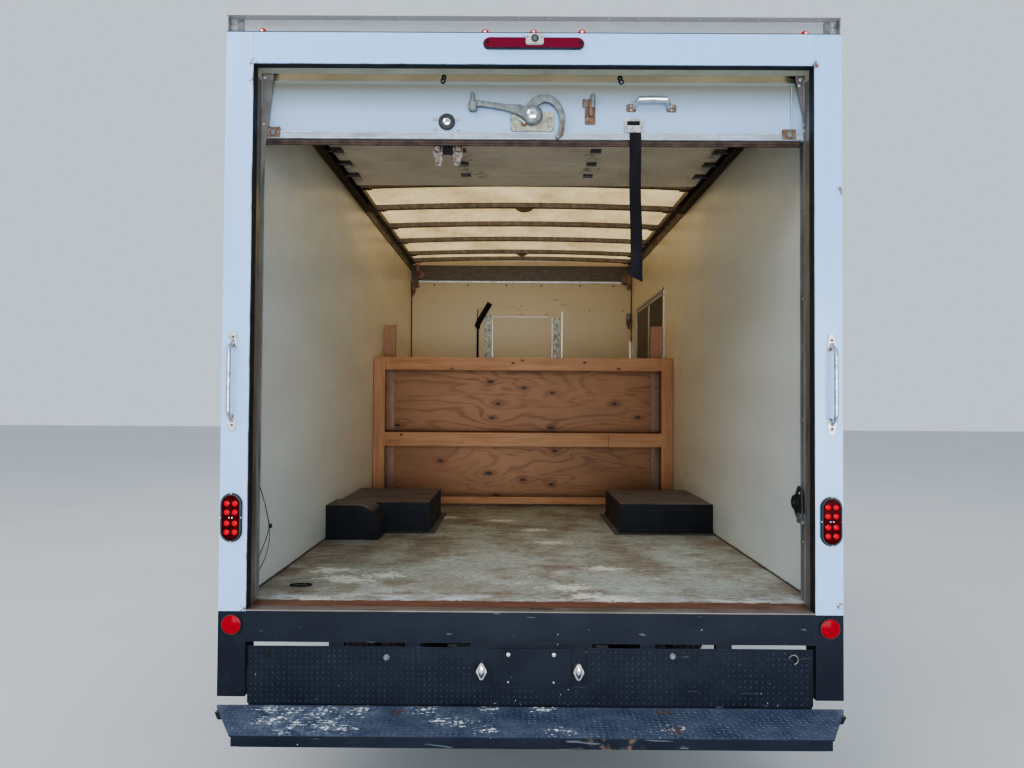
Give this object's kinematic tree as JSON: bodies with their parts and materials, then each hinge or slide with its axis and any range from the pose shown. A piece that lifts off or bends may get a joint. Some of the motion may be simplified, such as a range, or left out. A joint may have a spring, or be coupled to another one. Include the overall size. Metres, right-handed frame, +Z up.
{
  "type": "box truck",
  "caption": "Cab-and-box delivery truck with a hollow load body, rear roll-up door stored open, built-in shelf, hinged doors, opening hood and steered, rolling wheels.",
  "frame": {"origin": "on the ground under the middle of the truck, at mid-length and mid-width", "axes": "+Y forward, +X to the truck's right, +Z up"},
  "size_m": [2.59, 7.791, 3.18],
  "materials": {
    "chassis_black": "worn satin black",
    "engine_grey": "dull",
    "axle_iron": "dull, rusty",
    "tank_steel": "satin black",
    "exhaust_steel": "dull, stained",
    "deck_wood": "worn, dirty",
    "wall_panel": "semi-gloss, smudged",
    "roof_steel": "dull dark brown",
    "roof_film": "translucent",
    "body_white": "gloss white with rust at the edges",
    "step_black": "worn black",
    "door_panel": "semi-gloss white",
    "zinc_steel": "zinc plated, dull",
    "strap_webbing": "woven black",
    "red_lens": "clear red",
    "chrome": "polished",
    "box_black": "satin black",
    "lumber": "rough sawn",
    "plywood": "knotty",
    "flap_rubber": "dull",
    "tyre": "dull",
    "rim_white": "painted white, dusty",
    "glass": "clear",
    "lamp_glass": "clear",
    "black_plastic": "grained",
    "bumper_steel": "satin black",
    "cab_trim": "grained",
    "seat_fabric": "woven grey"
  },
  "bodies": {
    "root": {"box_floor": "deck_wood", "cab_shell": "body_white", "crossmembers": "chassis_black", "dashboard": "cab_trim", "door_fittings": "zinc_steel", "door_tracks": "zinc_steel", "engine_block": "engine_grey", "exhaust": "exhaust_steel", "frame_rails": "chassis_black", "front_axle_beam": "axle_iron", "front_bumper": "bumper_steel", "front_panels": "body_white", "front_wall": "wall_panel", "fuel_tank": "tank_steel", "grab_handles": "zinc_steel", "grille": "black_plastic", "headlamps": "lamp_glass", "kick_plate": "step_black", "leaf_springs": "axle_iron", "licence_lamps": "chrome", "marker_lamps": "red_lens", "mud_flaps": "flap_rubber", "pull_strap": "strap_webbing", "rear_axle": "axle_iron", "rear_frame": "body_white", "rear_lamps": "red_lens", "rear_sill": "step_black", "rear_step": "step_black", "rollup_door": "door_panel", "roof_bows": "roof_steel", "roof_cap": "body_white", "roof_rails": "roof_steel", "roof_skin": "roof_film", "seats": "seat_fabric", "shelf_frame": "lumber", "shelf_panels": "plywood", "wall_left": "wall_panel", "wall_right": "wall_panel", "wheel_boxes": "box_black", "windshield": "glass"},
    "steering_wheel": {"steering_wheel": "cab_trim"},
    "hood": {"hood": "body_white"},
    "side_door_rear": {"side_door_rear": "wall_panel"},
    "side_door_front": {"side_door_front": "wall_panel"},
    "knuckle_left": {"knuckle_left": "axle_iron"},
    "wheel_front_left": {"tyre_front_left": "tyre", "rim_front_left": "rim_white"},
    "wheels_rear_left": {"tyres_rear_left": "tyre", "rims_rear_left": "rim_white"},
    "cab_door_left": {"cab_door_left": "body_white", "door_glass_left": "glass", "mirror_left": "black_plastic"},
    "knuckle_right": {"knuckle_right": "axle_iron"},
    "wheel_front_right": {"tyre_front_right": "tyre", "rim_front_right": "rim_white"},
    "wheels_rear_right": {"tyres_rear_right": "tyre", "rims_rear_right": "rim_white"},
    "cab_door_right": {"cab_door_right": "body_white", "door_glass_right": "glass", "mirror_right": "black_plastic"}
  },
  "joints": [
    {"name": "steer_left", "type": "hinge", "parent": "root", "child": "knuckle_left", "pos_m": [-0.768, 3.0455, 0.371], "axis": [0, 0, 1], "range_deg": [-35, 35]},
    {"name": "roll_front_left", "type": "hinge", "parent": "knuckle_left", "child": "wheel_front_left", "pos_m": [-0.868, 3.0455, 0.371], "axis": [-1, 0, 0], "continuous": true},
    {"name": "roll_rear_left", "type": "hinge", "parent": "root", "child": "wheels_rear_left", "pos_m": [-0.919, -1.4505, 0.371], "axis": [-1, 0, 0], "continuous": true},
    {"name": "cab_door_left", "type": "hinge", "parent": "root", "child": "cab_door_left", "pos_m": [-1.014, 2.7955, 1.2], "axis": [0, 0, -1], "range_deg": [0, 65]},
    {"name": "steer_right", "type": "hinge", "parent": "root", "child": "knuckle_right", "pos_m": [0.768, 3.0455, 0.371], "axis": [0, 0, 1], "range_deg": [-35, 35]},
    {"name": "roll_front_right", "type": "hinge", "parent": "knuckle_right", "child": "wheel_front_right", "pos_m": [0.868, 3.0455, 0.371], "axis": [-1, 0, 0], "continuous": true},
    {"name": "roll_rear_right", "type": "hinge", "parent": "root", "child": "wheels_rear_right", "pos_m": [0.919, -1.4505, 0.371], "axis": [-1, 0, 0], "continuous": true},
    {"name": "cab_door_right", "type": "hinge", "parent": "root", "child": "cab_door_right", "pos_m": [1.014, 2.7955, 1.2], "axis": [0, 0, 1], "range_deg": [0, 65]},
    {"name": "hood", "type": "hinge", "parent": "root", "child": "hood", "pos_m": [0, 3.0935, 1.353], "axis": [1, 0, 0], "range_deg": [0, 50]},
    {"name": "steering_wheel", "type": "hinge", "parent": "root", "child": "steering_wheel", "pos_m": [-0.43, 2.3855, 1.33], "axis": [0, -0.8192, 0.5736], "range_deg": [-561, 561]},
    {"name": "side_door_rear", "type": "hinge", "parent": "root", "child": "side_door_rear", "pos_m": [1.225, -0.2305, 1.705], "axis": [0, 0, -1], "range_deg": [0, 105]},
    {"name": "side_door_front", "type": "hinge", "parent": "root", "child": "side_door_front", "pos_m": [1.225, 1.1695, 1.705], "axis": [0, 0, 1], "range_deg": [0, 105]}
  ],
  "couplings": [
    {"joint": "steer_right", "follows": "steer_left", "ratio": 1},
    {"joint": "steering_wheel", "follows": "steer_left", "ratio": 16}
  ]
}
